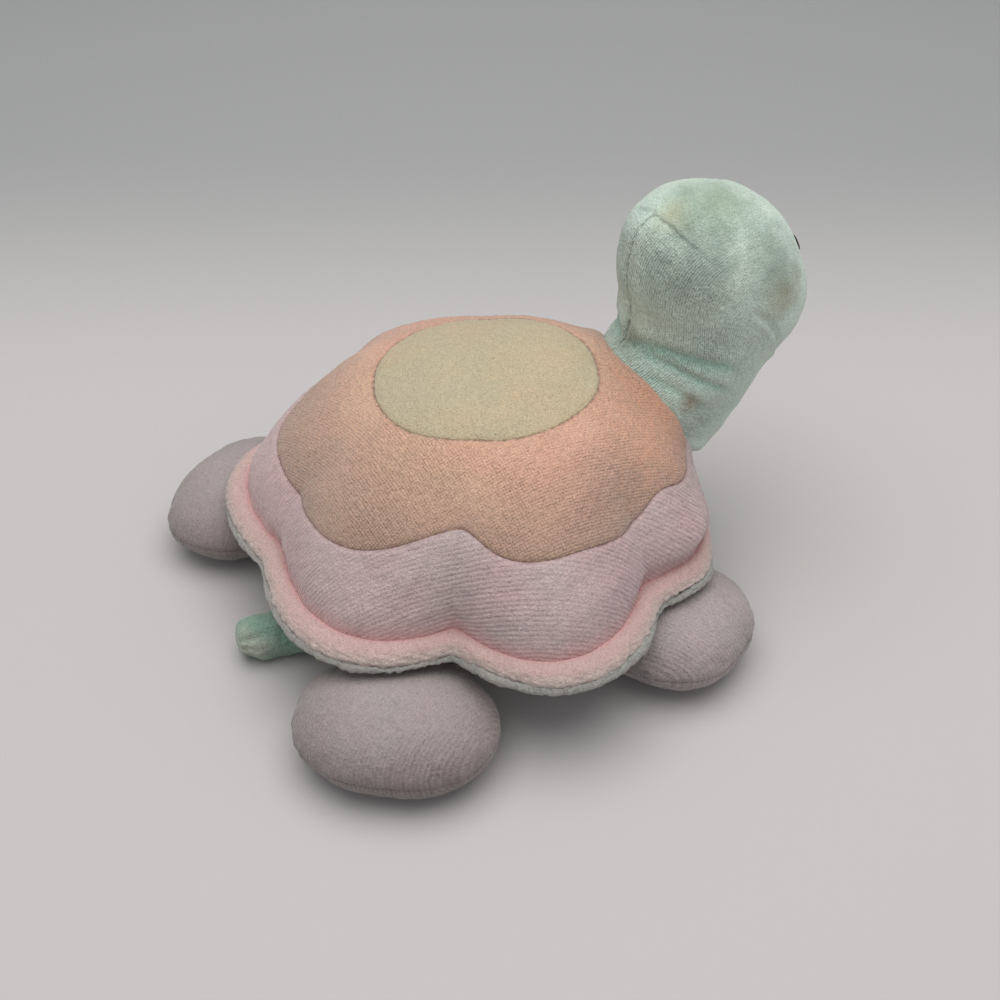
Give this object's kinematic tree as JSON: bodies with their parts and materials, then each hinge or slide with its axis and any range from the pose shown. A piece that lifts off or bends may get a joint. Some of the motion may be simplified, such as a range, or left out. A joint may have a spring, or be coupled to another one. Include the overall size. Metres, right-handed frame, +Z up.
{
  "type": "plush turtle",
  "caption": "Stuffed velour turtle with a domed, lobed shell in yellow, peach and lilac, a soft pink rim, a long mint neck and head, rounded feet and a short tail.",
  "frame": {"origin": "a point on the flat patch that the belly rests on, under the middle of the neck, shell and tail line", "axes": "+Z up from the floor, -Y towards the head, +Y towards the tail, +X towards the turtle's left"},
  "size_m": [0.226, 0.2553, 0.1589],
  "materials": {
    "velour_yellow": "soft short pile",
    "velour_peach": "soft short pile",
    "velour_lilac": "ribbed short pile",
    "velour_pink": "soft short pile",
    "velour_mint": "ribbed short pile",
    "velour_grey_lilac": "soft short pile",
    "thread_black": "satin thread",
    "polyester_filling": "loose fibre"
  },
  "bodies": {
    "shell_body": {"body_stuffing": "polyester_filling", "belly_panel": "velour_mint", "shell_skirt_panel": "velour_lilac", "shell_middle_panel": "velour_peach", "shell_top_patch": "velour_yellow", "rim_top_band": "velour_pink", "rim_under_band": "velour_mint"},
    "head": {"head_stuffing": "polyester_filling", "head_left_panel": "velour_mint", "head_right_panel": "velour_mint", "left_eye": "thread_black", "right_eye": "thread_black"},
    "rear_left_foot": {"rear_left_foot_stuffing": "polyester_filling", "rear_left_foot_top": "velour_grey_lilac", "rear_left_foot_sole": "velour_grey_lilac"},
    "rear_right_foot": {"rear_right_foot_stuffing": "polyester_filling", "rear_right_foot_top": "velour_grey_lilac", "rear_right_foot_sole": "velour_grey_lilac"},
    "front_left_foot": {"front_left_foot_stuffing": "polyester_filling", "front_left_foot_top": "velour_grey_lilac", "front_left_foot_sole": "velour_grey_lilac"},
    "front_right_foot": {"front_right_foot_stuffing": "polyester_filling", "front_right_foot_top": "velour_grey_lilac", "front_right_foot_sole": "velour_grey_lilac"},
    "tail": {"tail_stuffing": "polyester_filling", "tail_cover": "velour_mint"}
  },
  "joints": [
    {"name": "head_nod", "type": "hinge", "parent": "shell_body", "child": "head", "pos_m": [0, -0.068, 0.067], "axis": [1, 0, 0], "range_deg": [-10, 15], "stiffness_Nm_per_rad": 0.2, "springref_deg": -3.44},
    {"name": "rear_left_foot_droop", "type": "hinge", "parent": "shell_body", "child": "rear_left_foot", "pos_m": [0.0489, 0.06003, 0.015], "axis": [-0.6691, 0.7431, 0], "range_deg": [0, 25], "stiffness_Nm_per_rad": 0.03, "springref_deg": -3.44},
    {"name": "rear_right_foot_droop", "type": "hinge", "parent": "shell_body", "child": "rear_right_foot", "pos_m": [-0.05498, 0.0517, 0.015], "axis": [-0.5446, -0.8387, 0], "range_deg": [0, 25], "stiffness_Nm_per_rad": 0.03, "springref_deg": -3.44},
    {"name": "front_left_foot_droop", "type": "hinge", "parent": "shell_body", "child": "front_left_foot", "pos_m": [0.05167, -0.02891, 0.015], "axis": [0.6561, 0.7547, 0], "range_deg": [0, 25], "stiffness_Nm_per_rad": 0.03, "springref_deg": -3.44},
    {"name": "front_right_foot_droop", "type": "hinge", "parent": "shell_body", "child": "front_right_foot", "pos_m": [-0.05167, -0.02891, 0.015], "axis": [0.6561, -0.7547, 0], "range_deg": [0, 25], "stiffness_Nm_per_rad": 0.03, "springref_deg": -3.44},
    {"name": "tail_lift", "type": "hinge", "parent": "shell_body", "child": "tail", "pos_m": [-0.01408, 0.07245, 0.0091], "axis": [0.9877, -0.1564, 0], "range_deg": [-15, 15], "stiffness_Nm_per_rad": 0.01}
  ]
}
